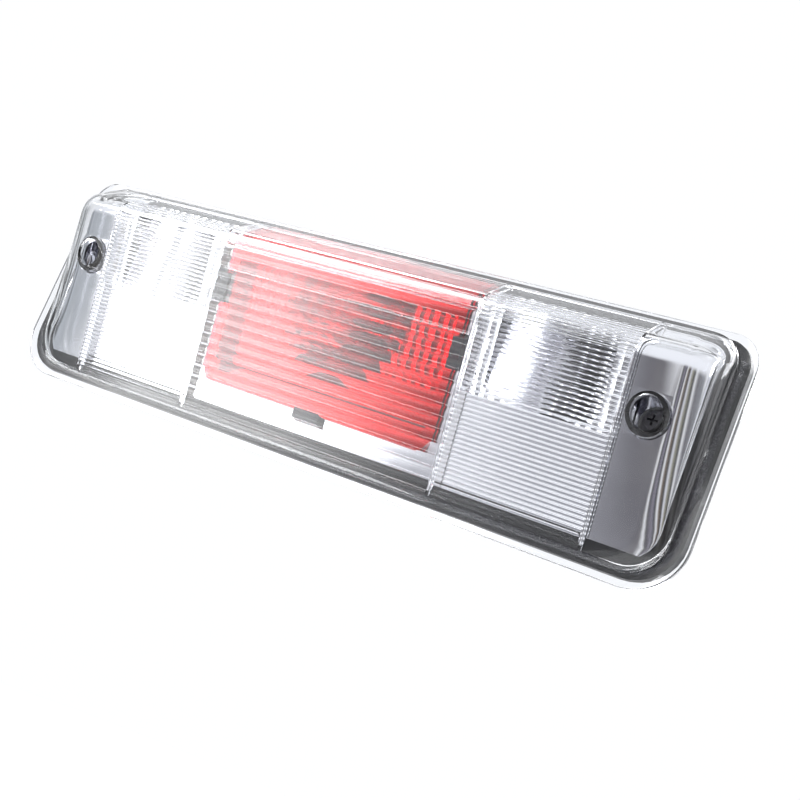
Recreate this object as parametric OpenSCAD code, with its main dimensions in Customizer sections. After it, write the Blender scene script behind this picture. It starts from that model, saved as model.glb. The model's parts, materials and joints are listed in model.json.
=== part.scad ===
// High-mounted brake light with a cargo lamp on each side of the brake lamp.
// Millimetres. X runs along the lamp, Z is up, and the lens faces -Y.
// The origin is the centre of the mounting face, where the gasket seats on the vehicle.

/* [Lens] */
// Overall width of the lens flange
lamp_w = 392; // [340:1:470]
// Overall height of the lens flange
lamp_h = 116; // [104:1:140]
// Thickness of the lens flange
flange_t = 3; // [2:0.5:4]
// Width of the flange beside the dome at each end
flange_side = 8.3; // [6:0.1:12]
// Width of the flange under the dome
flange_under = 6.3; // [5:0.1:10]
// Width of the flange over the dome
flange_over = 2; // [1.5:0.1:4]
// Radius of the two top corners of the flange
corner_top = 14; // [12:1:20]
// Radius of the two bottom corners of the flange
corner_bottom = 24; // [20:1:28]
// Wall thickness of the dome
lens_wall = 2.5; // [2:0.1:3]
// How far the crest of the dome stands in front of the flange
crest_reach = 24; // [20:0.5:30]
// Height from the crest down to the top edge of the dome
crest_drop = 17; // [14:0.5:22]
// Radius over the crest
crest_r = 12; // [8:0.5:16]
// Radius of the shoulder at each end of the dome
shoulder_r = 16; // [14:0.5:20]

/* [Zones] */
// Half width of the brake lamp zone
brake_half = 76; // [60:1:90]
// Half width out to the far side of the cargo lamps
cargo_half = 152; // [140:1:156]
// Depth of the flutes inside the lens
flute_depth = 0.8; // [0.4:0.1:1]
// Pitch of the fine flutes over the cargo lamps
fine_pitch = 2.1; // [1.6:0.1:3]
// Pitch of the coarse flutes over the brake lamp
coarse_pitch = 5.6; // [4:0.1:8]

/* [Mounting screws] */
// Distance from the middle of the lamp to each mounting screw
screw_x = 164; // [162:0.5:166]
// Height of the mounting screws over the middle of the lamp
screw_z = 11; // [0:1:14]
// Outer diameter of the screw thread
screw_d = 5; // [4:0.5:6]
// Diameter of the screw head
head_d = 8.5; // [8:0.5:10]
// Length of the screw under its head
screw_len = 30; // [24:1:40]
// Inside diameter of the screw well in the lens
well_d = 14.5; // [14:0.5:16]

/* [Reflector] */
// Gap from the outside of the lens back to the bright panels of the cargo lamps
panel_depth = 8; // [8:0.5:9]
// Gap from the outside of the lens back to the bright end pieces
end_depth = 5.5; // [5:0.5:6]
// Gap from the outside of the lens back to the bright panel behind the red filter
brake_depth = 16; // [14:0.5:17]
// Thickness of the bright mouldings
panel_t = 2; // [1.5:0.1:2.2]
// Height of the bulbs over the middle of the lamp
bulb_z = 20; // [16:1:22]
// Width of each cargo bowl
cargo_bowl_w = 56; // [48:1:60]
// Thickness of the red filter
filter_t = 2; // [1.5:0.1:2.2]

/* [Housing] */
// Depth of the housing behind the mounting face
body_depth = 22; // [20:1:30]
// Wall thickness of the housing
housing_wall = 2.5; // [2:0.1:3]
// Thickness of the gasket and of the screw seals
gasket_t = 3; // [2:0.5:4]
// Width of the gasket
gasket_w = 6; // [4:0.5:7]

/* [Bulbs and sockets] */
// Diameter of the glass of each bulb
bulb_d = 15.6; // [13:0.2:16]
// Length of the round glass in front of its wedge base
bulb_len = 22; // [18:1:24]
// Diameter of the socket barrel where it passes the housing wall
barrel_d = 20; // [19:0.5:24]
// Angle from locked to free on the quarter-turn sockets
unlock_angle = 45; // [30:1:50]

/* [Hidden] */
$fn = 48;
ARC_STEPS = 8;

// Planes across the lamp, from the mounting face at y = 0 towards the front
rim_t = 3;
rim_back = -gasket_t;
rim_front = rim_back - rim_t;
flange_front = rim_front - flange_t;
crest_y = flange_front - crest_reach;

// Heights of the dome, and the lean of its face
dome_top = lamp_h / 2 - flange_over;
dome_bottom = -lamp_h / 2 + flange_under;
dome_half = lamp_w / 2 - flange_side;
crest_z = dome_top - crest_drop;
foot_step = 0.8;
foot = [flange_front - foot_step, dome_bottom];
crest = [crest_y, crest_z];
lean = atan((foot.x - crest.x) / (crest.y - foot.y));
face_len = norm(crest - foot);
FRONT = 60;
WELL_OUT = 2;

// Screw stack
well_floor_t = 2.5;
boss_len = 1.5;
boss_r = 7;
washer_t = 1.2;
washer_lap = 1.5;
fit_gap = 0.4;
well_floor = rim_front - boss_len - well_floor_t;

// Housing body behind the rim
rim_inset = [3.5, 4, 2.8];
edge_gap = 1;
body_half = cargo_half + 4;
body_top = lamp_h / 2 - rim_inset[2] - gasket_w - edge_gap - fit_gap;
body_bottom = -lamp_h / 2 + rim_inset[1] + gasket_w + edge_gap + fit_gap;
body_r = 12;
back_in = body_depth - housing_wall;
bead_inset = 2;
bead_w = 3;
bead_t = 1.5;

// Bowls: parabolas that end in round necks round the bulb sockets
neck_r = barrel_d / 2 + 3.5;
neck_y = back_in - 5.5;
bowl_back = neck_y + 4;
bowl_k = neck_r * neck_r / (bowl_back - neck_y);
bowl_max_r = 40;
cargo_mouth_y = -13;
BOWL_FACETS = 9;
PILLOW_STEPS = 4;
PILLOW = 0.5;

// How far back the bright panels reach into the housing
panel_back = rim_front + 8;
brake_back = panel_back + 6;

// Depth at which the bright cross walls start, clear of the lens's dividing ribs
divider_t = 1.2;
divider_h = 2;
wall_front = lens_wall + divider_h + fit_gap;

// Sockets
lug_reach = 2.2;
lug_t = 2.2;
lug_half = 16;
SOCKET_X = [0, -(brake_half + cargo_half) / 2, (brake_half + cargo_half) / 2];
socket_flange_d = barrel_d + 9;
seal_t = 1.5;
seal_w = 3.4;
grip_len = 13;

function unit(v) = v / norm(v);
function turn(a) = a > 180 ? a - 360 : (a < -180 ? a + 360 : a);

// Corner v of an outline between a and b, moved inwards by d along both edges
function inset_corner(a, v, b, d) =
    let (e = unit(v - a), g = unit(b - v), n = [-e.y, e.x], m = [-g.y, g.x])
    v + (n + m) * d / (1 + n * m);

// Points of a round corner of radius r at v
function round_corner(a, v, b, r) =
    let (p = unit(a - v), q = unit(b - v), half = acos(p * q) / 2,
        c = v + unit(p + q) * r / sin(half), cut = r / tan(half), s = v + p * cut - c, e = v + q * cut - c,
        from = atan2(s.y, s.x), sweep = turn(atan2(e.y, e.x) - from))
    [for (i = [0:ARC_STEPS]) let (t = from + sweep * i / ARC_STEPS) c + r * [cos(t), sin(t)]];

// An anticlockwise outline, inset by d, with a radius at each corner
function outline(pts, radii, d) =
    let (n = len(pts),
        in = [for (i = [0:n - 1]) inset_corner(pts[(i + n - 1) % n], pts[i], pts[(i + 1) % n], d)])
    [for (i = [0:n - 1])
        each round_corner(in[(i + n - 1) % n], in[i], in[(i + 1) % n], max(radii[i] - d, 0.4))];

// Outline of a plate seen from the front, as [x, z]
function plate_outline(half, low, high, r_low, r_high, d) =
    outline([[-half, low], [half, low], [half, high], [-half, high]], [r_low, r_low, r_high, r_high], d);

flange_pts = plate_outline(lamp_w / 2, -lamp_h / 2, lamp_h / 2, corner_bottom, corner_top, 0);
function rim_pts(d) = plate_outline(lamp_w / 2 - rim_inset[0], -lamp_h / 2 + rim_inset[1],
    lamp_h / 2 - rim_inset[2], corner_bottom - 3, corner_top - 2, d);
function dome_pts(d) = plate_outline(dome_half, dome_bottom, dome_top, corner_bottom - 4, corner_top - 1, d);
function body_pts(d) = plate_outline(body_half, body_bottom, body_top, body_r, body_r, d);

// Side profile of the dome as [y, z], open at the back
function profile_pts(d) = outline([foot, [FRONT, dome_bottom], [FRONT, dome_top],
    [flange_front - 1.5, dome_top], crest], [3, 0.5, 0.5, 3, crest_r], d);

// Plate of an [x, z] outline from y = front to y = back
module slab(pts, front, back)
    translate([0, back, 0]) rotate([90, 0, 0]) linear_extrude(back - front) polygon(pts);

// Bar of a [y, z] outline from x = left to x = right
module bar(pts, left, right)
    translate([left, 0, 0]) rotate([90, 0, 90]) linear_extrude(right - left) polygon(pts);

// Places children in the plane of the leaning face: y is depth behind it and z runs up it
module on_face() translate([0, foot.x, foot.y]) rotate([lean, 0, 0]) children();

// Round bar along Y
module rod(r, front, back) translate([0, back, 0]) rotate([90, 0, 0]) cylinder(r = r, h = back - front);

module at_screw(side) translate([side * screw_x, 0, screw_z]) children();
module at_socket(i) translate([SOCKET_X[i], 0, bulb_z]) children();

// The dome as a solid, inset by d on every side and cut off at y = back
module dome(d, back) intersection() {
    bar(profile_pts(d), -lamp_w, lamp_w);
    slab(dome_pts(d), -FRONT, back);
    on_face() translate([0, 0, -FRONT]) linear_extrude(face_len + 2 * FRONT)
        polygon(outline([[-dome_half, -0.6], [dome_half, -0.6], [dome_half, FRONT * 2],
            [-dome_half, FRONT * 2]], [shoulder_r, shoulder_r, 1, 1], d));
}

// A strip of flutes inside the lens from x = left to x = right
flute_start = 3;
module flutes(left, right, pitch) on_face() translate([left, 0, 0]) rotate([90, 0, 90])
    linear_extrude(right - left) polygon(concat(
        [for (i = [1:floor((face_len - crest_r - flute_start) / pitch)]) each [
            [lens_wall - 0.2, flute_start + (i - 0.5) * pitch],
            [lens_wall + flute_depth, flute_start + i * pitch]]],
        [[lens_wall / 2, face_len - crest_r + flute_start], [lens_wall / 2, flute_start]]));

// A cross wall of thickness t centred on x, from depth d0 to depth d1 behind the lens surface
module cross_wall(x, t, d0, d1, back) intersection() {
    difference() {
        dome(d0, back);
        dome(d1, back + 1);
    }
    translate([x - t / 2, -FRONT, -FRONT]) cube([t, 2 * FRONT, 2 * FRONT]);
}

// Clear outer lens: flange, hollow dome, flutes, dividing ribs and two screw wells
module outer_lens() color("white", 0.35) difference() {
    union() {
        difference() {
            union() {
                slab(flange_pts, flange_front, rim_front);
                dome(0, rim_front);
            }
            dome(lens_wall, rim_front + 1);
        }
        for (s = [-1, 1]) {
            for (x = [brake_half, cargo_half])
                cross_wall(s * x, divider_t, lens_wall - 0.5, lens_wall + divider_h, rim_front);
            intersection() {
                dome(0.5, rim_front);
                at_screw(s) rod(well_d / 2 + WELL_OUT, -FRONT, well_floor + well_floor_t);
            }
        }
        flutes(-brake_half + divider_t, brake_half - divider_t, coarse_pitch);
        flutes(brake_half + divider_t, cargo_half - divider_t, fine_pitch);
        flutes(-cargo_half + divider_t, -brake_half - divider_t, fine_pitch);
    }
    for (s = [-1, 1]) at_screw(s) {
        rod(well_d / 2, -FRONT, well_floor);
        rod(screw_d / 2 + fit_gap, -FRONT, 0);
    }
}

// Bead that seals the lens to the housing, in a groove of the rim
module lens_sealant() color("gainsboro") difference() {
    slab(rim_pts(bead_inset), rim_front, rim_front + bead_t);
    slab(rim_pts(bead_inset + bead_w), rim_front - 1, rim_front + bead_t + 1);
}

// Outline of the red filter, as [x, height up the face], up to a given height
filter_low = 18;
filter_high = face_len + 8;
window_high = face_len - 10;
filter_half = brake_half - 6;
filter_chamfer = 7;
function filter_pts(d, high) = let (h = filter_half - d, c = filter_chamfer)
    [[-h + c, filter_low + d], [h - c, filter_low + d], [h, filter_low + d + c], [h, high],
        [-h, high], [-h, filter_low + d + c]];

module face_slab(pts, from, to) on_face() translate([0, to, 0]) rotate([90, 0, 0])
    linear_extrude(to - from) polygon(pts);

// Red filter of the brake lamp: it follows the lens up the face, over the crest and down the slope
filter_back = panel_depth - 0.5;
module red_filter() color("crimson", 0.8) intersection() {
    face_slab(filter_pts(0, filter_high), 0, FRONT);
    difference() {
        dome(filter_back - filter_t, rim_front - fit_gap);
        dome(filter_back, rim_front + 1);
    }
}

// Spring clips that hold the filter to the bright bezel: one below and one at each side
clip_len = 15;
clip_front_t = 1;
clip_back_t = 0.5;
clip_foot = 2.4;
clip_lip = 3;
side_clip_up = 66;
module filter_clip(x, up, turned) on_face() translate([x, 0, up]) rotate([0, turned, 0]) difference() {
    translate([-clip_len / 2, filter_back - filter_t - clip_front_t, -clip_foot])
        cube([clip_len, filter_t + clip_front_t + clip_back_t, clip_foot + clip_lip]);
    translate([-clip_len, filter_back - filter_t, 0]) cube([2 * clip_len, filter_t, 2 * clip_lip]);
}
module filter_clips() color("dimgray") {
    filter_clip(0, filter_low, 0);
    filter_clip(filter_half, side_clip_up, -90);
    filter_clip(-filter_half, side_clip_up, 90);
}

// Room for the bright parts: all that is in front of the rim, and the mouth of the housing body
module lamp_room(gap, back) {
    slab(flange_pts, -FRONT, rim_front);
    slab(body_pts(housing_wall + gap), rim_front - 1, back);
}

// Bright shell at depth d behind the lens, between x = left and x = right
module panel_shell(d, t, left, right, back) intersection() {
    difference() {
        dome(d, back);
        dome(d + t, back + 1);
    }
    lamp_room(fit_gap, back);
    translate([left, -FRONT, -FRONT]) cube([right - left, 2 * FRONT, 2 * FRONT]);
}

// Bright frame around the red filter, which laps the edge of its window
window_lap = 5;
module brake_bezel() color("silver") difference() {
    panel_shell(panel_depth, panel_t, -brake_half + panel_t / 2, brake_half - panel_t / 2, panel_back);
    face_slab(filter_pts(window_lap, window_high), 0, FRONT);
}

// Solid of the round brake bowl, grown by g
module brake_bowl(g) rotate([90, 0, 0]) translate([0, 0, -bowl_back - g]) rotate_extrude()
    polygon(concat([for (i = [0:ARC_STEPS]) let (r = (bowl_max_r + g) * i / ARC_STEPS) [r, r * r / bowl_k]],
        [[bowl_max_r + g, FRONT], [0, FRONT]]));

// Solid of a cargo bowl with upright facets and an arched lower edge, grown by g
cargo_floor = -20;
floor_arch = 4.5;
module cargo_bowl(g) {
    half = cargo_bowl_w / 2;
    k = (half * half - neck_r * neck_r) / (neck_y - cargo_mouth_y);
    deep = neck_y + neck_r * neck_r / k;
    intersection() {
        translate([0, 0, -FRONT]) linear_extrude(2 * FRONT) polygon(concat(
            [for (i = [0:BOWL_FACETS * PILLOW_STEPS])
                let (t = i / PILLOW_STEPS, x = (half + g) * (2 * t / BOWL_FACETS - 1),
                    swell = PILLOW * sin(180 * (t - floor(t))))
                [x, deep + g - swell - x * x * (deep + g - cargo_mouth_y) / pow(half + g, 2)]],
            [[half + g, -FRONT], [-half - g, -FRONT]]));
        slab(concat([for (i = [0:ARC_STEPS]) let (t = 2 * i / ARC_STEPS - 1)
            [t * (half + g), cargo_floor - g + floor_arch * t * t]],
            [[half + g, crest_z - bulb_z + g], [-half - g, crest_z - bulb_z + g]]), -FRONT, back_in);
    }
}

// What lies at least d behind the lens surface, inside the lamp
module behind(d) intersection() {
    dome(d, back_in);
    lamp_room(fit_gap, back_in);
}

// One-piece bright reflector: panels, cross walls, three bowls and their necks
module reflector() color("lightgray") difference() {
    union() {
        for (s = [-1, 1]) {
            mirror([s < 0 ? 1 : 0, 0, 0])
                panel_shell(panel_depth, panel_t, brake_half, cargo_half, panel_back);
            for (x = [brake_half, cargo_half - panel_t / 2]) intersection() {
                cross_wall(s * x, panel_t, wall_front, brake_depth + panel_t, brake_back);
                lamp_room(fit_gap, brake_back);
            }
        }
        panel_shell(brake_depth, panel_t, -brake_half, brake_half, brake_back);
        intersection() {
            behind(panel_depth + 0.3);
            union() for (i = [1, 2]) at_socket(i) cargo_bowl(panel_t);
        }
        intersection() {
            behind(brake_depth + 0.3);
            at_socket(0) brake_bowl(panel_t);
        }
        for (i = [0:2]) at_socket(i) rod(neck_r + panel_t, neck_y - 3, back_in);
    }
    intersection() {
        union() {
            at_socket(0) brake_bowl(0);
            for (i = [1, 2]) at_socket(i) cargo_bowl(0);
        }
        slab(flange_pts, -FRONT, neck_y);
    }
    for (i = [0:2]) at_socket(i) rod(neck_r, neck_y - 3, back_in + 1);
}

// Bright end piece around a mounting screw
end_t = 1.5;
module end_bezel(side) color("silver") difference() {
    mirror([side < 0 ? 1 : 0, 0, 0]) {
        panel_shell(end_depth, end_t, cargo_half + fit_gap, dome_half, rim_front);
        intersection() {
            dome(end_depth - 0.5, rim_front);
            translate([cargo_half + divider_t, rim_front - end_t, -FRONT])
                cube([dome_half, end_t, 2 * FRONT]);
        }
    }
    at_screw(side) rod(well_d / 2 + WELL_OUT + fit_gap, -FRONT, 0);
}
module end_bezel_left() end_bezel(-1);
module end_bezel_right() end_bezel(1);

// Black rear housing: rim, box, socket holes with bayonet notches, screw bosses and breather spigots
BREATHER_X = 40;
breather_z = body_bottom + 14;
spigot_r = 3;
spigot_bore = 1.6;
spigot_len = 7;
rib_x = [24, 86];
rib_z = -8;
rib_t = 1.8;
rib_h = 2.5;
rib_margin = 8;
socket_gap = 0.3;
module rear_housing() color("#1d1d20") difference() {
    union() {
        slab(rim_pts(0), rim_front, rim_back);
        slab(body_pts(0), rim_back - 1, body_depth);
        for (s = [-1, 1]) {
            at_screw(s) rod(boss_r, rim_front - boss_len, rim_front + 1);
            translate([s * BREATHER_X, 0, breather_z]) rod(spigot_r, body_depth - 1, body_depth + spigot_len);
            for (x = rib_x) translate([s * x - rib_t / 2, body_depth - 1, body_bottom + rib_margin])
                cube([rib_t, rib_h + 1, body_top - body_bottom - 2 * rib_margin]);
            translate([s > 0 ? rib_x[0] : -rib_x[1], body_depth - 1, rib_z - rib_t / 2])
                cube([rib_x[1] - rib_x[0], rib_h + 1, rib_t]);
        }
    }
    slab(body_pts(housing_wall), -FRONT, back_in);
    difference() {
        slab(rim_pts(bead_inset), rim_front - 1, rim_front + bead_t);
        slab(rim_pts(bead_inset + bead_w), rim_front - 2, rim_front + bead_t + 1);
    }
    for (s = [-1, 1]) {
        at_screw(s) rod(screw_d / 2 + fit_gap, -FRONT, FRONT);
        translate([s * BREATHER_X, 0, breather_z]) rod(spigot_bore, 0, FRONT);
    }
    for (i = [0:2]) at_socket(i) {
        rod(barrel_d / 2 + socket_gap, 0, FRONT);
        rotate([0, unlock_angle, 0]) lugs(socket_gap, 0, FRONT);
    }
}

// Three bayonet lugs, grown by g, from y = front to y = back
module lugs(g, front, back) for (a = [0:120:240]) rotate([0, a, 0]) intersection() {
    rod(barrel_d / 2 + lug_reach + g, front, back);
    translate([0, front, 0]) rotate([-90, 0, 0]) linear_extrude(back - front)
        polygon([[0, 0], 30 * [sin(lug_half + 3 * g), cos(lug_half + 3 * g)],
            30 * [-sin(lug_half + 3 * g), cos(lug_half + 3 * g)]]);
}

// Foam gasket round the rim
module mounting_gasket() color("#2b2b2b") difference() {
    slab(rim_pts(1), rim_back, 0);
    slab(rim_pts(1 + gasket_w), rim_back - 1, 1);
}

// Foam seals round the screws
module screw_seals() color("#2b2b2b") for (s = [-1, 1]) at_screw(s) difference() {
    rod(boss_r, rim_back, 0);
    rod(screw_d / 2 + fit_gap, rim_back - 1, 1);
}

// Rubber caps on the breather spigots
cap_wall = 2;
cap_end = 3;
vent_h = 1.5;
module breather_caps() color("#333333")
    for (s = [-1, 1]) translate([s * BREATHER_X, body_depth + spigot_len, breather_z]) difference() {
        rod(spigot_r + cap_wall, -spigot_len, cap_end);
        rod(spigot_r, -spigot_len - 1, 0);
        rod(spigot_bore, -1, vent_h);
        for (a = [0, 90]) rotate([0, a, 0]) translate([-spigot_r - 2 * cap_wall, 0, -vent_h / 2])
            cube([2 * spigot_r + 4 * cap_wall, vent_h, vent_h]);
    }

// Capless bulb: round glass with a domed tip, neck and flat wedge base
bulb_back = back_in + 6;
wedge_len = 8;
bulb_front = bulb_back - wedge_len - bulb_len;
wedge_w = 14;
wedge_t = 3;
glass_t = 1;
pinch = 2;
module bulb_glass() color("white", 0.5) difference() {
    union() {
        rod(bulb_d / 2, bulb_front + bulb_d / 2, bulb_front + bulb_len);
        translate([0, bulb_front + bulb_d / 2, 0]) sphere(bulb_d / 2);
        translate([-wedge_w / 2, bulb_front + bulb_len - 1, -wedge_t / 2])
            cube([wedge_w, wedge_len + 1, wedge_t]);
    }
    rod(bulb_d / 2 - glass_t, bulb_front + bulb_d / 2, bulb_front + bulb_len - pinch);
    translate([0, bulb_front + bulb_d / 2, 0]) sphere(bulb_d / 2 - glass_t);
}

// Coiled filament on its two support wires
filament_y = bulb_front + bulb_d / 2 + 3;
filament_len = 8;
filament_r = 0.6;
wire_r = 0.35;
module bulb_filament() color("darkgray") {
    translate([-filament_len / 2, filament_y, 0]) rotate([0, 90, 0])
        cylinder(r = filament_r, h = filament_len);
    for (s = [-1, 1]) translate([s * (filament_len / 2 - wire_r), 0, 0])
        rod(wire_r, filament_y, bulb_front + bulb_len - pinch);
}

// Quarter-turn socket: barrel, lugs, flange, grip wings and plug shroud
plug_w = 12;
plug_h = 8;
plug_deep = 10;
plug_wall = 2;
barrel_lead = 3;
socket_flange_t = 3;
flange_seat = body_depth + seal_t;
socket_back = flange_seat + socket_flange_t + grip_len;
grip_t = 2.5;
grip_deep = 8;
wedge_gap = 0.05;
contact_x = 3.5;
contact_w = 2;
contact_t = 0.8;
module socket() color("#26262a") difference() {
    union() {
        rod(barrel_d / 2, back_in - barrel_lead, flange_seat + 1);
        lugs(0, back_in - lug_t - socket_gap, back_in - socket_gap);
        rod(socket_flange_d / 2, flange_seat, flange_seat + socket_flange_t);
        translate([-plug_w / 2 - plug_wall, flange_seat + 1, -plug_h / 2 - plug_wall])
            cube([plug_w + 2 * plug_wall, socket_flange_t - 1 + grip_len, plug_h + 2 * plug_wall]);
        translate([-socket_flange_d / 2 + 1, flange_seat + 1, -grip_t / 2])
            cube([socket_flange_d - 2, socket_flange_t - 1 + grip_deep, grip_t]);
    }
    rod(bulb_d / 2 + fit_gap, 0, bulb_front + bulb_len);
    translate([-wedge_w / 2 - 2 * wedge_gap, 0, -wedge_t / 2 - wedge_gap])
        cube([wedge_w + 4 * wedge_gap, bulb_back, wedge_t + 2 * wedge_gap]);
    translate([-plug_w / 2, socket_back - plug_deep, -plug_h / 2]) cube([plug_w, 2 * plug_deep, plug_h]);
    for (s = [-1, 1]) translate([s * contact_x - contact_w / 2, 0, -contact_t / 2])
        cube([contact_w, FRONT, contact_t]);
}

// Rubber ring between socket and housing
module socket_seal() color("#303030") difference() {
    rod(barrel_d / 2 + seal_w, body_depth, flange_seat);
    rod(barrel_d / 2, body_depth - 1, flange_seat + 1);
}

// Two brass contacts, from the bulb's wedge to the plug cavity
module socket_contacts() color("goldenrod") for (s = [-1, 1])
    translate([s * contact_x - contact_w / 2, bulb_back, -contact_t / 2])
        cube([contact_w, socket_back - bulb_back - 3, contact_t]);

module brake_bulb_glass() at_socket(0) bulb_glass();
module brake_bulb_filament() at_socket(0) bulb_filament();
module brake_socket() at_socket(0) socket();
module brake_socket_seal() at_socket(0) socket_seal();
module brake_socket_contacts() at_socket(0) socket_contacts();
module left_bulb_glass() at_socket(1) bulb_glass();
module left_bulb_filament() at_socket(1) bulb_filament();
module left_socket() at_socket(1) socket();
module left_socket_seal() at_socket(1) socket_seal();
module left_socket_contacts() at_socket(1) socket_contacts();
module right_bulb_glass() at_socket(2) bulb_glass();
module right_bulb_filament() at_socket(2) bulb_filament();
module right_socket() at_socket(2) socket();
module right_socket_seal() at_socket(2) socket_seal();
module right_socket_contacts() at_socket(2) socket_contacts();

// Mounting screw with a cross recess in its pan head, and its thread behind the mounting face
head_back = well_floor - washer_t;
shank_d = screw_d - 0.5;
thread_start = 1;
head_t = 3.6;
recess_w = 4.8;
recess_t = 1;
recess_deep = 2.2;
module mounting_screw(side) color("gray") at_screw(side) difference() {
    union() {
        rod(head_d / 2, head_back - head_t, head_back);
        rod(shank_d / 2, head_back - 1, thread_start + 1);
        rod(screw_d / 2, thread_start, head_back + screw_len);
    }
    for (a = [0, 90]) rotate([0, a, 0]) translate([-recess_w / 2, head_back - head_t - 1, -recess_t / 2])
        cube([recess_w, recess_deep + 1, recess_t]);
}

// Washer under the screw head
module screw_washer(side) color("dimgray") at_screw(side) difference() {
    rod(head_d / 2 + washer_lap, well_floor - washer_t, well_floor);
    rod(screw_d / 2 + 0.1, well_floor - washer_t - 1, well_floor + 1);
}
module left_screw() mounting_screw(-1);
module left_screw_washer() screw_washer(-1);
module right_screw() mounting_screw(1);
module right_screw_washer() screw_washer(1);

outer_lens();
lens_sealant();
red_filter();
filter_clips();
brake_bezel();
reflector();
end_bezel_left();
end_bezel_right();
rear_housing();
mounting_gasket();
screw_seals();
breather_caps();
brake_bulb_glass();
brake_bulb_filament();
brake_socket();
brake_socket_seal();
brake_socket_contacts();
left_bulb_glass();
left_bulb_filament();
left_socket();
left_socket_seal();
left_socket_contacts();
right_bulb_glass();
right_bulb_filament();
right_socket();
right_socket_seal();
right_socket_contacts();
left_screw();
left_screw_washer();
right_screw();
right_screw_washer();
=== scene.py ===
# %% [markdown]
# # A high-mounted brake light with two cargo lamps
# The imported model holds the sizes, the places and everything that moves. This file gives the lamp
# its finish: a clear lens with real flutes, bright reflectors, a red filter and the small parts.
# All lengths are metres. X runs along the lamp, Z is up and the lens faces -Y.

# %% Load the frame
import json
import math

import bpy
from mathutils import Matrix, Vector


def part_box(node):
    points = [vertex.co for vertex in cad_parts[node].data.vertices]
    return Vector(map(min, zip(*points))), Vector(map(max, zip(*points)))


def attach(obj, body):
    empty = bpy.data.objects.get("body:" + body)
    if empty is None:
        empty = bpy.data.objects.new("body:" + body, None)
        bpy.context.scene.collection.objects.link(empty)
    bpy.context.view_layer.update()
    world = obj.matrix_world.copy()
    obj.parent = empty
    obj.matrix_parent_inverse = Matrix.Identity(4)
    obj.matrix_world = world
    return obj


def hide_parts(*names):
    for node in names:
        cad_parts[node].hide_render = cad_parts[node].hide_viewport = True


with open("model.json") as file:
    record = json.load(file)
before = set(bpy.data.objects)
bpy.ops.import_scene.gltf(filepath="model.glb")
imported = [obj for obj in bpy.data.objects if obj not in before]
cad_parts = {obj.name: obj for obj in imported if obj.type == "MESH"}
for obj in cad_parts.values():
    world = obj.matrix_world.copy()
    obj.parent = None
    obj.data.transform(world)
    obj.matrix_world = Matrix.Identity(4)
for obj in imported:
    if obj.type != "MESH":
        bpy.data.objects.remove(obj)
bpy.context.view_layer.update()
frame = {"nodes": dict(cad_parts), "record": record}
MM = 0.001

# %% [markdown]
# ## Camera
# The lamp is seen from its right end and from a little below, with the camera rolled so that the
# lamp runs downhill across the frame. A 54 mm lens on a 36 mm sensor, this close to the lamp,
# makes the near end look clearly taller than the far one.

# %% Camera
CAMERA_AT = Vector((0.3286, -0.4815, -0.0948))
CAMERA_RIGHT = Vector((0.820, 0.4258, 0.3824)).normalized()
CAMERA_AIM = Vector((-0.5094, 0.8476, 0.1486)).normalized()

camera_up = CAMERA_RIGHT.cross(CAMERA_AIM).normalized()
camera_right = CAMERA_AIM.cross(camera_up)
turn = Matrix((camera_right, camera_up, -CAMERA_AIM)).transposed()
camera = bpy.data.objects.new("camera", bpy.data.cameras.new("camera"))
camera.data.lens = 54
camera.data.sensor_width = 36
camera.matrix_world = Matrix.Translation(CAMERA_AT) @ turn.to_4x4()
bpy.context.scene.collection.objects.link(camera)
bpy.context.scene.camera = camera
bpy.context.scene.view_settings.view_transform = "Standard"
print("camera aims along", [round(v, 3) for v in CAMERA_AIM])

# %% [markdown]
# ## Helpers
# Operators act on everything that is selected, so each helper clears the selection first. A new
# primitive gets its name and has its place put into its mesh, and one piece is joined to another
# or cut by it with an exact boolean, as a modeller does with a tool piece.

# %% Modelling helpers
def only(piece):
    """Leaves just this piece selected and active."""
    if bpy.context.object and bpy.context.object.mode != "OBJECT":
        bpy.ops.object.mode_set(mode="OBJECT")
    bpy.ops.object.select_all(action="DESELECT")
    piece.select_set(True)
    bpy.context.view_layer.objects.active = piece
    return piece


def edit_all(piece):
    """Enters edit mode on a piece with everything selected."""
    only(piece)
    bpy.ops.object.mode_set(mode="EDIT")
    bpy.ops.mesh.select_all(action="SELECT")


def close_up():
    """Turns the normals of the piece in edit mode outwards and leaves edit mode."""
    bpy.ops.mesh.select_all(action="SELECT")
    bpy.ops.mesh.normals_make_consistent(inside=False)
    bpy.ops.object.mode_set(mode="OBJECT")


def move_vertices(piece, places):
    """Puts each vertex of a piece at its new place, in the order of the mesh."""
    piece.data.vertices.foreach_set("co", [c for place in places for c in place])


def new_piece(name):
    """Names the primitive that was just added and puts its place into its mesh."""
    piece = bpy.context.object
    piece.name = name
    piece.data.name = name
    only(piece)
    bpy.ops.object.transform_apply(location=True, rotation=True, scale=True)
    return piece


def block(name, low, high):
    """A box primitive between two corners."""
    low, high = Vector(low), Vector(high)
    bpy.ops.mesh.primitive_cube_add(size=1, location=(low + high) / 2, scale=high - low)
    return new_piece(name)


def rod(name, x, z, radius, front, back, sides=64):
    """A cylinder primitive along Y."""
    middle = (x, (front + back) / 2, z)
    bpy.ops.mesh.primitive_cylinder_add(vertices=sides, radius=radius, depth=back - front,
                                        location=middle, rotation=(math.pi / 2, 0, 0))
    return new_piece(name)


def carve(piece, tool, how):
    """Adds, cuts or intersects a piece with a tool, which is used up."""
    only(piece)
    step = piece.modifiers.new("carve", "BOOLEAN")
    step.operation = how
    step.solver = "EXACT"
    step.object = tool
    bpy.ops.object.modifier_apply(modifier=step.name)
    bpy.data.objects.remove(tool)
    return piece


def smooth(piece, degrees):
    only(piece)
    bpy.ops.object.shade_smooth_by_angle(angle=math.radians(degrees))


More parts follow.
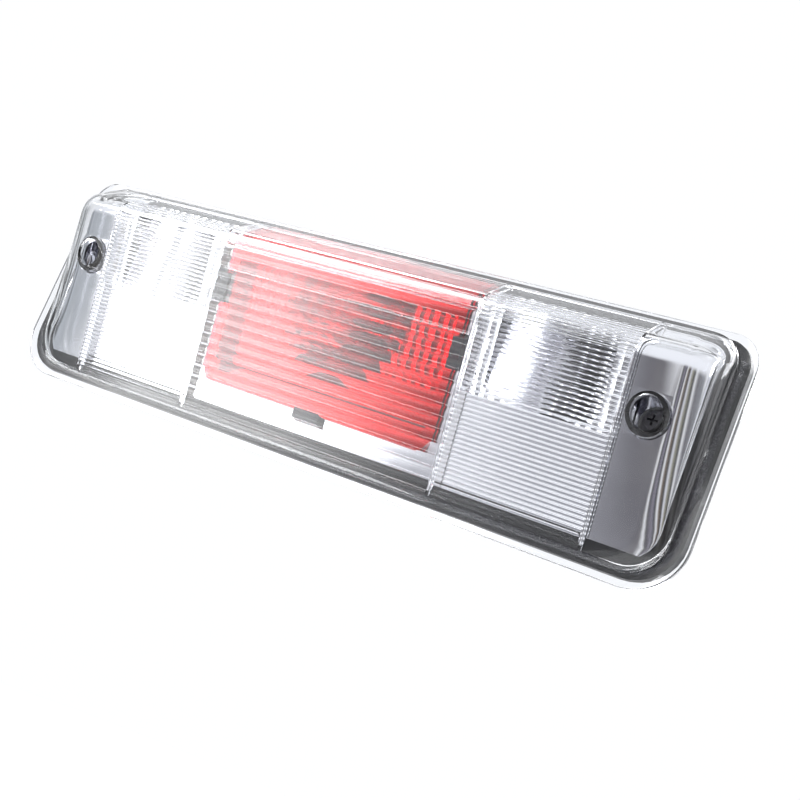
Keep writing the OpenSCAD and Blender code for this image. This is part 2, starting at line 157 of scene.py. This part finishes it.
def triangles(piece):
    return sum(len(face.vertices) - 2 for face in piece.data.polygons)


# %% [markdown]
# ## Shape of the lens
# From the side the lens is a long leaning face, a round crest and a short slope back to the
# flange. `skin` gives a point at a distance up that line and at a depth below the surface, so the
# outside, the inside and the flutes all follow one curve and the wall keeps its thickness.

# %% Side line of the lens
FLANGE_FRONT, FLANGE_BACK = -9 * MM, -6.1 * MM
FOOT = Vector((FLANGE_FRONT - 0.8 * MM, -51.7 * MM))
CREST = Vector((-33 * MM, 39 * MM))
BROW = Vector((FLANGE_FRONT - 1.5 * MM, 56 * MM))
CREST_R = 12 * MM
WALL = 2.5 * MM

face_way = (CREST - FOOT).normalized()
slope_way = (BROW - CREST).normalized()
face_in = Vector((face_way.y, -face_way.x))
slope_in = Vector((slope_way.y, -slope_way.x))
crest_turn = face_way.angle(slope_way)
crest_cut = CREST_R * math.tan(crest_turn / 2)
FACE_LEN = (CREST - FOOT).length - crest_cut
ROUND_LEN = CREST_R * crest_turn
SKIN_LEN = FACE_LEN + ROUND_LEN + (BROW - CREST).length - crest_cut
crest_hub = FOOT + face_way * FACE_LEN + face_in * CREST_R


def skin(s, depth):
    """The point (y, z) at a distance s up the side line and a depth below the surface."""
    if s <= FACE_LEN:
        return FOOT + face_way * s + face_in * depth
    if s <= FACE_LEN + ROUND_LEN:
        a = (s - FACE_LEN) / CREST_R
        out = -face_in * math.cos(a) + face_way * math.sin(a)
        return crest_hub + out * (CREST_R - depth)
    return crest_hub - slope_in * (CREST_R - depth) + slope_way * (s - FACE_LEN - ROUND_LEN)


print("side line", round(SKIN_LEN / MM, 1), "mm, of which the face is", round(FACE_LEN / MM, 1))

# %% [markdown]
# From the front the dome is a rectangle with four round corners. `half_width` gives how wide it
# is at a height, so each row of the lens ends where the outline is, and the shoulder rounds over
# there.

# %% Front outline of the dome
DOME_HALF = 187.7 * MM
DOME_LOW, DOME_HIGH = -51.7 * MM, 56 * MM
LOW_R, HIGH_R = 20 * MM, 13 * MM
SHOULDER_R = 16 * MM


def half_width(z, inset):
    """Half the width of the dome's outline at height z, with the outline moved in by inset."""
    low_r, high_r = LOW_R - inset, HIGH_R - inset
    under = DOME_LOW + inset + low_r - z
    over = z - (DOME_HIGH - inset - high_r)
    half = DOME_HALF - inset
    for gap, r in ((under, low_r), (over, high_r)):
        if gap > 0:
            half -= r - math.sqrt(max(r * r - min(gap, r) ** 2, 0))
    return half


# %% [markdown]
# ## Bent sheets
# The outside and the hollow of the lens are both made the same way: a grid primitive is bent over
# the side line, rounded off at both ends, pulled back into a solid and closed. Only the rows and
# columns differ, so one helper makes both.

# %% Bent sheet
ROUND_STEPS = 12


def bent_solid(name, rows, columns, inset, foot_y, back, depth_at):
    """A solid whose front follows the side line. columns are fixed places across the middle, each
    with a zone name, and depth_at(zone, s) says how far below the surface that zone lies."""
    ends = [math.radians(90 * i / ROUND_STEPS) for i in range(1, ROUND_STEPS + 1)]
    count = len(columns) + 2 * ROUND_STEPS
    bpy.ops.mesh.primitive_grid_add(x_subdivisions=count - 1, y_subdivisions=len(rows) - 1, size=2)
    piece = new_piece(name)
    turn_r = SHOULDER_R - inset
    places = []
    for s in rows:
        plain = skin(s, inset)
        flat = half_width(plain.y, inset) - turn_r
        line = []
        for side, order in ((-1, reversed(ends)), (1, ends)):
            line += [(side * (flat + turn_r * math.sin(a)),
                      foot_y + (plain.x - foot_y) * math.cos(a), plain.y) for a in order]
        middle = []
        for x, zone in columns:
            point = skin(s, depth_at(zone, s))
            middle.append((max(-flat, min(flat, x)), point.x, point.y))
        places += line[:ROUND_STEPS] + middle + line[ROUND_STEPS:]
    move_vertices(piece, places)
    edit_all(piece)
    bpy.ops.mesh.region_to_loop()
    bpy.ops.mesh.extrude_region_move(TRANSFORM_OT_translate={"value": (0, back, 0)})
    bpy.ops.transform.resize(value=(1, 0, 1), center_override=(0, back, 0))
    bpy.ops.mesh.edge_face_add()
    close_up()
    return piece


def steps(start, end, count):
    return [start + (end - start) * i / count for i in range(count + 1)]


# %% [markdown]
# ## Outside of the lens
# Rows crowd together where the outline turns its corners and where the crest is round, because
# that is where highlights would show flat facets. The flange is a plate of rounded outlines, with
# a half-millimetre round along its edge that draws the thin line round the clear rim.

# %% Outside of the lens
SMOOTH = "smooth"
low_corner = [LOW_R * (1 - math.cos(math.radians(a))) for a in range(0, 91, 6)]
outer_rows = [r / math.cos(crest_turn / 5) for r in low_corner]
outer_rows += steps(outer_rows[-1], FACE_LEN, 6)[1:]
outer_rows += steps(FACE_LEN, FACE_LEN + ROUND_LEN, 14)[1:]
high_start = FACE_LEN + ROUND_LEN
outer_rows += [high_start + (SKIN_LEN - high_start) * math.sin(math.radians(a))
               for a in range(6, 91, 6)]
outer_columns = [(x * MM, SMOOTH) for x in range(-200, 201, 25)]
lens = bent_solid("clear_lens", outer_rows, outer_columns, 0, FLANGE_FRONT, FLANGE_FRONT + 1 * MM,
                  lambda zone, s: 0)

lens_low, lens_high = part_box("outer_lens")
TOP_CORNER, BOTTOM_CORNER, CORNER_STEPS = 14 * MM, 24 * MM, 20
EDGE_ROUND = 0.5 * MM


def plate_ring(inset, y):
    """The flange's outline at a depth, moved in by inset: a quarter turn at each corner."""
    ring = []
    for start, side, high, radius in ((-90, 1, False, BOTTOM_CORNER), (0, 1, True, TOP_CORNER),
                                      (90, -1, True, TOP_CORNER), (180, -1, False, BOTTOM_CORNER)):
        hub = (side * (lens_high.x - radius), lens_high.z - radius if high else lens_low.z + radius)
        for i in range(CORNER_STEPS + 1):
            a = math.radians(start + 90 * i / CORNER_STEPS)
            reach = radius - inset
            ring.append((hub[0] + reach * math.cos(a), y, hub[1] + reach * math.sin(a)))
    return ring + ring[:1]


edge_turns = [math.radians(a) for a in (0, 30, 60, 90)]
edge_steps = [(EDGE_ROUND * (1 - math.sin(a)), EDGE_ROUND * (1 - math.cos(a))) for a in edge_turns]
rings = [plate_ring(inset, FLANGE_FRONT + step) for inset, step in edge_steps]
rings += [plate_ring(inset, FLANGE_BACK - step) for inset, step in reversed(edge_steps)]
bpy.ops.mesh.primitive_grid_add(x_subdivisions=len(rings[0]) - 1, y_subdivisions=len(rings) - 1,
                                size=2)
flange = new_piece("flange")
move_vertices(flange, [place for ring in rings for place in ring])
edit_all(flange)
bpy.ops.mesh.remove_doubles(threshold=1e-6)
bpy.ops.mesh.fill_holes(sides=0)
close_up()
carve(lens, flange, "UNION")
print("outside of the lens:", triangles(lens), "triangles")

# %% [markdown]
# ## Hollow and flutes
# The flutes are on the inside, where dirt can't reach them. Over the cargo lamps they are fine
# half-round bars, over the brake lamp coarse ones, and they end in sharp valleys. They are made
# as real shape in the tool that hollows the lens, because only real flutes bend the view of the
# reflector behind them into bright and dark lines. The dividing ribs stay where the tool is
# shallower for a millimetre.

# %% Hollow of the lens
BRAKE_HALF, CARGO_HALF = 76 * MM, 152 * MM
FINE, COARSE = 2.1 * MM, 5.6 * MM
ROW = FINE / 6
RIB_HALF, RIB_DEEP = 0.6 * MM, 2 * MM
FLUTE_START = 3 * MM
CARGO_FLUTE, BRAKE_FLUTE, BROW_FLUTE = 0.42 * MM, 0.75 * MM, 0.35 * MM
FADE_END, FADE_LEN = SKIN_LEN - 14 * MM, 8 * MM


def bar(s, pitch, height):
    """Height of a half-round bar in a row of such bars."""
    t = (s - FLUTE_START) / pitch % 1
    return height * (1 - (2 * t - 1) ** 2)


def hollow_depth(zone, s):
    """How deep the hollow's front lies below the surface in a zone."""
    if zone == "rib":
        return WALL + RIB_DEEP
    if s < FLUTE_START or zone == SMOOTH:
        return WALL
    if zone == "fine":
        fade = min(max((FADE_END - s) / FADE_LEN, 0), 1)
        return WALL + bar(s, FINE, CARGO_FLUTE) * fade
    if s < FACE_LEN + ROUND_LEN:
        return WALL + bar(s, COARSE, BRAKE_FLUTE)
    return WALL + bar(s, FINE, BROW_FLUTE)


def rib_columns(x, left, right):
    """The columns at a dividing rib, with the zones on its left and on its right."""
    low, high = x - RIB_HALF, x + RIB_HALF
    return [(low, left), (low, "rib"), (high, "rib"), (high, right)]


hollow_rows = steps(2 * MM, SKIN_LEN - 2.2 * MM, round((SKIN_LEN - 4.2 * MM) / ROW))
hollow_columns = (rib_columns(-CARGO_HALF, SMOOTH, "fine")
                  + rib_columns(-BRAKE_HALF, "fine", "coarse")
                  + rib_columns(BRAKE_HALF, "coarse", "fine")
                  + rib_columns(CARGO_HALF, "fine", SMOOTH))
hollow = bent_solid("hollow", hollow_rows, hollow_columns, WALL, FLANGE_BACK, FLANGE_BACK + 2 * MM,
                    hollow_depth)
print("hollow:", triangles(hollow), "triangles")
carve(lens, hollow, "DIFFERENCE")

# %% [markdown]
# ## Screw wells
# Each mounting screw sits at the bottom of a deep round well moulded in the lens, so that the
# screwdriver never touches the bright parts. A tube is trimmed to the dome, joined to the lens
# and bored out, first for the screw head and then for the shank.

# %% Screw wells
SCREW_X, SCREW_Z = 164 * MM, 11 * MM
WELL_R, WELL_WALL = 7.25 * MM, 2 * MM
WELL_FLOOR, WELL_FLOOR_BACK = -10 * MM, -7.5 * MM
SHANK_HOLE_R = 2.9 * MM
IN_FRONT = -60 * MM  # well clear of the front of the lens
TRIM_DEPTH, TRIM_EDGE = 0.6 * MM, 0.5 * MM
trim_rows = steps(TRIM_EDGE, SKIN_LEN - TRIM_EDGE, 60)
for side in (-1, 1):
    trim = bent_solid("trim", trim_rows, outer_columns, TRIM_DEPTH, FLANGE_FRONT, FLANGE_BACK,
                      lambda zone, s: TRIM_DEPTH)
    tube = rod("tube", side * SCREW_X, SCREW_Z, WELL_R + WELL_WALL, IN_FRONT, WELL_FLOOR_BACK)
    carve(trim, tube, "INTERSECT")
    carve(lens, trim, "UNION")
for side in (-1, 1):
    well = rod("well", side * SCREW_X, SCREW_Z, WELL_R, IN_FRONT, WELL_FLOOR)
    carve(lens, well, "DIFFERENCE")
    hole = rod("hole", side * SCREW_X, SCREW_Z, SHANK_HOLE_R, -20 * MM, 0)
    carve(lens, hole, "DIFFERENCE")
smooth(lens, 32)
print("finished lens:", triangles(lens), "triangles")

# %% [markdown]
# ## End bezels
# Round each screw well lies a bright end piece that follows the inside of the lens. It is the same
# bent sheet again, 5.5 mm below the surface, hollowed 1.5 mm deeper, cut to the end of the lamp and
# bored for the well. Its round shoulder is what turns the surroundings into narrow upright lines.

# %% End bezels
END_DEPTH, END_T = 5.5 * MM, 1.5 * MM
END_START = CARGO_HALF + 0.6 * MM
WELL_ROOM_R = WELL_R + WELL_WALL + 0.4 * MM
INSIDE_BACK = FLANGE_BACK - 1.5 * MM


def end_bezel(side, name):
    """The bright shell at one end: side -1 is the left end and side 1 the right one."""
    first, last = 7.4 * MM, SKIN_LEN - 1.9 * MM
    round_rows = steps(FACE_LEN, FACE_LEN + ROUND_LEN, 16)
    rows = steps(first, FACE_LEN, 20)[:-1] + round_rows + steps(round_rows[-1], last, 12)[1:]
    shell = bent_solid(name, rows, outer_columns, END_DEPTH, FLANGE_BACK - 0.3 * MM, FLANGE_BACK,
                       lambda zone, s: END_DEPTH)
    brow_rows = steps(round_rows[-1], last - 0.6 * MM, 10)[1:]
    rows = steps(19.5 * MM, FACE_LEN, 16)[:-1] + round_rows + brow_rows
    inside = bent_solid("inside", rows, outer_columns, END_DEPTH + END_T, FLANGE_BACK - 1.8 * MM,
                        INSIDE_BACK, lambda zone, s: END_DEPTH + END_T)
    carve(shell, inside, "DIFFERENCE")
    near, far = sorted((side * END_START, side * 200 * MM))
    end = block("end", (near, IN_FRONT, -80 * MM), (far, 0, 80 * MM))
    carve(shell, end, "INTERSECT")
    room = rod("well_room", side * SCREW_X, SCREW_Z, WELL_ROOM_R, IN_FRONT, 10 * MM)
    carve(shell, room, "DIFFERENCE")
    smooth(shell, 32)
    return shell


END_BEZELS = {"end_bezel_left": end_bezel(-1, "end_bezel_left_shell"),
              "end_bezel_right": end_bezel(1, "end_bezel_right_shell")}
print("end bezels:", [triangles(piece) for piece in END_BEZELS.values()], "triangles")

# %% [markdown]
# ## Materials
# One small function makes each finish. Every one has some variation from noise on object
# coordinates, because even a mirror coating or a polished lens is never perfectly even.

# %% Material helpers
def finish_for(name, colour, rough, metal=0.0, clear=0.0, ior=1.5):
    """A new material with a plain shader, and its nodes."""
    material = bpy.data.materials.new(name)
    material.use_nodes = True
    nodes, links = material.node_tree.nodes, material.node_tree.links
    shader = nodes["Principled BSDF"]
    shader.inputs["Base Color"].default_value = (*colour, 1)
    shader.inputs["Roughness"].default_value = rough
    shader.inputs["Metallic"].default_value = metal
    shader.inputs["Transmission Weight"].default_value = clear
    shader.inputs["IOR"].default_value = ior
    return material, nodes, links, shader


def noise(nodes, links, scale, detail=3.0, stretch=(1, 1, 1)):
    """Noise on object coordinates, in grains per metre."""
    where = nodes.new("ShaderNodeTexCoord")
    turn = nodes.new("ShaderNodeMapping")
    turn.inputs["Scale"].default_value = stretch
    grain = nodes.new("ShaderNodeTexNoise")
    grain.inputs["Scale"].default_value = scale
    grain.inputs["Detail"].default_value = detail
    links.new(where.outputs["Object"], turn.inputs["Vector"])
    links.new(turn.outputs["Vector"], grain.inputs["Vector"])
    return grain.outputs["Fac"]


def spread(nodes, links, source, low, high):
    """Spreads a noise value over a range."""
    span = nodes.new("ShaderNodeMapRange")
    span.inputs["From Min"].default_value = 0.3
    span.inputs["From Max"].default_value = 0.7
    span.inputs["To Min"].default_value = low
    span.inputs["To Max"].default_value = high
    links.new(source, span.inputs["Value"])
    return span.outputs["Result"]


def tint(nodes, links, source, first, second):
    """Mixes two colours by a value."""
    mix = nodes.new("ShaderNodeMix")
    mix.data_type = "RGBA"
    mix.inputs["A"].default_value = (*first, 1)
    mix.inputs["B"].default_value = (*second, 1)
    links.new(source, mix.inputs["Factor"])
    return mix.outputs["Result"]


def relief(nodes, links, shader, source, height, strength=1.0):
    """Small relief of a real height in metres."""
    bump = nodes.new("ShaderNodeBump")
    bump.inputs["Distance"].default_value = height
    bump.inputs["Strength"].default_value = strength
    links.new(source, bump.inputs["Height"])
    links.new(bump.outputs["Normal"], shader.inputs["Normal"])


# %% [markdown]
# The clear plastic lets almost everything through and has a faint cool tint. The red one takes
# out all but the red each time light crosses its surface. The bright coating is a metal with a
# little haze where the vapour settled unevenly.

# %% Clear, red and bright finishes
def clear_plastic():
    m, nodes, links, shader = finish_for("clear_plastic", (0.97, 0.98, 1.0), 0.02, clear=1.0)
    haze = spread(nodes, links, noise(nodes, links, 60), 0.0, 0.04)
    links.new(haze, shader.inputs["Roughness"])
    return m


def red_plastic():
    m, nodes, links, shader = finish_for("red_plastic", (0.85, 0.03, 0.05), 0.04, clear=1.0)
    depth = tint(nodes, links, noise(nodes, links, 25), (0.88, 0.03, 0.05), (0.78, 0.015, 0.035))
    links.new(depth, shader.inputs["Base Color"])
    haze = spread(nodes, links, noise(nodes, links, 90), 0.02, 0.07)
    links.new(haze, shader.inputs["Roughness"])
    return m


def bright_coating():
    m, nodes, links, shader = finish_for("bright_coating", (0.9, 0.9, 0.92), 0.08, metal=1.0)
    haze = spread(nodes, links, noise(nodes, links, 45, 4), 0.04, 0.13)
    links.new(haze, shader.inputs["Roughness"])
    relief(nodes, links, shader, noise(nodes, links, 70, 1), 0.00003)
    return m


def bowl_coating():
    """The bright coating over the small pillow facets that cover the bowls and the brake panel."""
    m, nodes, links, shader = finish_for("bowl_coating", (0.9, 0.9, 0.92), 0.08, metal=1.0)
    haze = spread(nodes, links, noise(nodes, links, 45, 4), 0.05, 0.14)
    links.new(haze, shader.inputs["Roughness"])
    where = nodes.new("ShaderNodeTexCoord").outputs["Object"]
    pitch = nodes.new("ShaderNodeMapping")
    pitch.inputs["Scale"].default_value = (1, 0.3, 0.55)
    cells = nodes.new("ShaderNodeTexVoronoi")
    cells.inputs["Scale"].default_value = 190
    cells.inputs["Randomness"].default_value = 0.3
    links.new(where, pitch.inputs["Vector"])
    links.new(pitch.outputs["Vector"], cells.inputs["Vector"])
    place = nodes.new("ShaderNodeSeparateXYZ")
    links.new(where, place.inputs[0])
    bowls = nodes.new("ShaderNodeMapRange")
    for key, value in (("From Min", 0.0), ("From Max", 2 * MM), ("To Min", 0), ("To Max", 1)):
        bowls.inputs[key].default_value = value
    links.new(place.outputs["Z"], bowls.inputs["Value"])
    pillows = nodes.new("ShaderNodeMath")
    pillows.operation = "MULTIPLY"
    links.new(cells.outputs["Distance"], pillows.inputs[0])
    links.new(bowls.outputs["Result"], pillows.inputs[1])
    relief(nodes, links, shader, pillows.outputs[0], 0.0007)
    return m


CLEAR = clear_plastic()
RED = red_plastic()
BRIGHT = bright_coating()
BOWLS = bowl_coating()


# %% [markdown]
# The opaque finishes differ in how coarse their grain is and how they catch light: moulded black
# plastic has a fine spark-eroded grain, foam has open cells, rubber is matt with a soft sheen,
# and the screws have a thin dark coating whose tone varies a little from place to place.

# %% Opaque finishes
METAL = 1.0


def grained(name, dark, light, rough, grain_scale, grain_height, metal=0.0):
    """A finish with broad colour variation and a fine grain."""
    m, nodes, links, shader = finish_for(name, light, rough, metal=metal)
    shade = tint(nodes, links, noise(nodes, links, 35, 5), dark, light)
    links.new(shade, shader.inputs["Base Color"])
    fine = noise(nodes, links, grain_scale, 2)
    links.new(spread(nodes, links, fine, rough - 0.06, rough + 0.06), shader.inputs["Roughness"])
    relief(nodes, links, shader, fine, grain_height)
    return m


# Each row gives the dark and light tones, the roughness, and the grain's fineness and height.
OPAQUE = {name: grained(name, *how) for name, how in {
    "housing_black": ((0.004, 0.004, 0.005), (0.009, 0.009, 0.011), 0.42, 1600, 0.00004),
    "socket_black": ((0.015, 0.015, 0.017), (0.03, 0.03, 0.033), 0.45, 2200, 0.00003),
    "clip_plastic": ((0.05, 0.05, 0.055), (0.08, 0.08, 0.09), 0.4, 1800, 0.00003),
    "sealant": ((0.012, 0.012, 0.016), (0.07, 0.07, 0.08), 0.25, 700, 0.0003),
    "foam": ((0.008, 0.008, 0.009), (0.02, 0.02, 0.022), 0.9, 1100, 0.0003),
    "rubber_black": ((0.012, 0.012, 0.012), (0.02, 0.02, 0.02), 0.7, 2500, 0.00003),
    "rubber_seal": ((0.02, 0.02, 0.022), (0.035, 0.035, 0.038), 0.65, 2500, 0.00003),
    "tungsten": ((0.28, 0.28, 0.3), (0.45, 0.45, 0.47), 0.4, 3000, 0.00002, METAL),
    "contact_brass": ((0.62, 0.42, 0.16), (0.8, 0.6, 0.28), 0.25, 1500, 0.00001, METAL),
    "screw_black_zinc": ((0.05, 0.05, 0.055), (0.11, 0.11, 0.12), 0.3, 2500, 0.00002, METAL),
    "washer_black": ((0.06, 0.06, 0.065), (0.14, 0.14, 0.15), 0.35, 2000, 0.00002, METAL),
}.items()}


def bulb_glass():
    """Thin clear glass. It bends light a little less than the plastics do."""
    m, nodes, links, shader = finish_for("bulb_glass", (0.99, 0.99, 0.99), 0.0, clear=1.0, ior=1.45)
    haze = spread(nodes, links, noise(nodes, links, 200), 0.0, 0.02)
    links.new(haze, shader.inputs["Roughness"])
    return m


FINISHES = {"clear_lens": CLEAR, "red_lens": RED, "bright_coating": BRIGHT,
            "bulb_glass": bulb_glass(), **OPAQUE}


def dress(piece, finish):
    """Gives a piece one finish and takes away the one it came with."""
    piece.data.materials.clear()
    piece.data.materials.append(finish)


# %% [markdown]
# Each model node names its finish. The reflector alone gets the faceted coating, because its bowls
# are covered in small pillows. The fluted lens and the end shells then take the places of the
# plain nodes that they stand for, and ride the lamp body as those did.

# %% Dress the CAD nodes
slots = {part["node"]: part["material_slot"] for part in frame["record"]["subparts"]}
for node, piece in frame["nodes"].items():
    dress(piece, FINISHES[slots[node]])
dress(frame["nodes"]["reflector"], BOWLS)
print("dressed", len(slots), "nodes in", len(FINISHES) + 1, "finishes")

# %% Lens in its place
dress(lens, CLEAR)
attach(lens, "lamp")
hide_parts("outer_lens")

# %% End bezels in their places
for node, shell in END_BEZELS.items():
    dress(shell, BRIGHT)
    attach(shell, "lamp")
    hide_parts(node)

# %% [markdown]
# ## Studio
# A bright coating only shows what is around it, so the surroundings do most of the work. They are
# set by compass direction, in degrees from straight in front of the lens and positive toward its
# right end. Behind the lamp all is white. In front to the left is one narrow strong light, which
# the far half mirrors, and from there the light falls off to the grey that the near end mirrors.
# The narrow dark and coloured bands on both sides give the round shoulders their upright lines.

# %% World
STRONGEST = 6.0
COMPASS = [  # direction in degrees, light level, colour
    (-118, 1.0, (1, 1, 1)), (-112, 0.08, (0.8, 0.85, 1)), (-98, 0.05, (1, 1, 1)),
    (-92, 0.7, (0.92, 0.96, 1)), (-80, 0.5, (0.9, 0.95, 1)), (-72, 0.08, (1, 1, 1)),
    (-66, 0.6, (0.9, 0.95, 1)), (-50, 0.5, (0.92, 0.96, 1)), (-47, 0.9, (1, 1, 1)),
    (-45, 6.0, (1, 1, 1)), (-38, 5.5, (1, 1, 1)), (-34, 2.4, (1, 1, 1)),
    (-30, 0.6, (0.95, 0.95, 1)), (-24, 0.34, (0.94, 0.94, 1)), (-17, 0.2, (0.95, 0.93, 1)),
    (-11, 0.14, (0.95, 0.9, 0.95)), (-6, 0.95, (1, 1, 1)), (-1, 0.1, (1, 0.95, 0.95)),
    (10, 0.3, (0.9, 0.85, 1)), (18, 0.05, (1, 1, 1)), (26, 0.9, (1, 1, 1)),
    (34, 0.2, (1, 0.8, 0.65)), (44, 0.05, (1, 1, 1)), (52, 0.8, (0.95, 0.95, 1)),
    (62, 0.3, (1, 0.97, 0.75)), (72, 0.05, (1, 1, 1)), (80, 0.9, (1, 1, 1)),
    (92, 0.1, (0.9, 0.86, 1)), (112, 0.06, (0.8, 0.85, 1)), (118, 1.0, (1, 1, 1))]


def world_light():
    """Builds the surroundings from the compass table, with white above and behind."""
    world = bpy.data.worlds.new("studio")
    bpy.context.scene.world = world
    world.use_nodes = True
    nodes, links = world.node_tree.nodes, world.node_tree.links
    way = nodes.new("ShaderNodeTexCoord").outputs["Generated"]
    parts = nodes.new("ShaderNodeSeparateXYZ")
    links.new(way, parts.inputs[0])

    def maths(how, a, b=0.0):
        node = nodes.new("ShaderNodeMath")
        node.operation = how
        for entry, value in zip(node.inputs, (a, b)):
            if isinstance(value, (int, float)):
                entry.default_value = value
            else:
                links.new(value, entry)
        return node.outputs[0]

    def ramp(source, start, end, low, high):
        span = nodes.new("ShaderNodeMapRange")
        span.interpolation_type = "SMOOTHSTEP"
        limits = (("From Min", start), ("From Max", end), ("To Min", low), ("To Max", high))
        for key, value in limits:
            span.inputs[key].default_value = value
        links.new(source, span.inputs["Value"])
        return span.outputs["Result"]

    compass = maths("ARCTAN2", parts.outputs["X"], maths("MULTIPLY", parts.outputs["Y"], -1))
    place = maths("ADD", maths("MULTIPLY", compass, 1 / (2 * math.pi)), 0.5)
    bands = nodes.new("ShaderNodeValToRGB")
    links.new(place, bands.inputs["Fac"])
    stops = bands.color_ramp.elements
    while len(stops) < len(COMPASS):
        stops.new(0.5)
    for stop, (degrees, level, colour) in zip(stops, COMPASS):
        stop.position = degrees / 360 + 0.5
        stop.color = (*[c * level / STRONGEST for c in colour], 1)

    back = ramp(parts.outputs["Y"], 0.4, 0.5, 0, 1)
    low = maths("MULTIPLY", ramp(parts.outputs["Z"], -0.75, -0.38, 0.25, 1), STRONGEST)
    high = ramp(parts.outputs["Z"], -0.02, 0.45, 0, 1)
    sky = maths("MAXIMUM", high, back)
    surround = nodes.new("ShaderNodeVectorMath")
    surround.operation = "SCALE"
    links.new(bands.outputs["Color"], surround.inputs[0])
    links.new(low, surround.inputs["Scale"])
    blend = nodes.new("ShaderNodeMix")
    blend.data_type = "RGBA"
    links.new(sky, blend.inputs["Factor"])
    links.new(surround.outputs[0], blend.inputs["A"])
    blend.inputs["B"].default_value = (1.0, 1.01, 1.03, 1)
    links.new(blend.outputs["Result"], nodes["Background"].inputs["Color"])


world_light()

# %% [markdown]
# Two soft lights, one in front on the left and one behind on the right, add to the surroundings.
# The floor is only scenery and isn't part of the lamp. Light crosses many clear and bright walls
# here, so its paths may be longer than usual before they are cut off.

# %% Lights and floor
FLOOR_Z, FLOOR_R = -0.3, 0.55
bpy.ops.mesh.primitive_circle_add(vertices=128, radius=FLOOR_R, fill_type="NGON",
                                  location=(0, 0, FLOOR_Z))
floor = new_piece("floor")
dress(floor, finish_for("floor", (0.86, 0.86, 0.86), 0.6)[0])


def soft_light(name, at, aim, size, power):
    """A square lamp of a size in metres and a power in watts, turned to face a point."""
    light = bpy.data.objects.new(name, bpy.data.lights.new(name, "AREA"))
    light.data.size = size
    light.data.energy = power
    light.location = at
    light.rotation_euler = (Vector(aim) - Vector(at)).to_track_quat("-Z", "Y").to_euler()
    bpy.context.scene.collection.objects.link(light)


soft_light("key", (-0.9, -0.8, 0.9), (0, 0, 0), 0.7, 14)
soft_light("back", (0.6, 1.0, 0.7), (0, 0, 0), 0.8, 14)

scene = bpy.context.scene
scene.cycles.max_bounces = 28
scene.cycles.transmission_bounces = 28
scene.cycles.glossy_bounces = 20
scene.cycles.transparent_max_bounces = 16
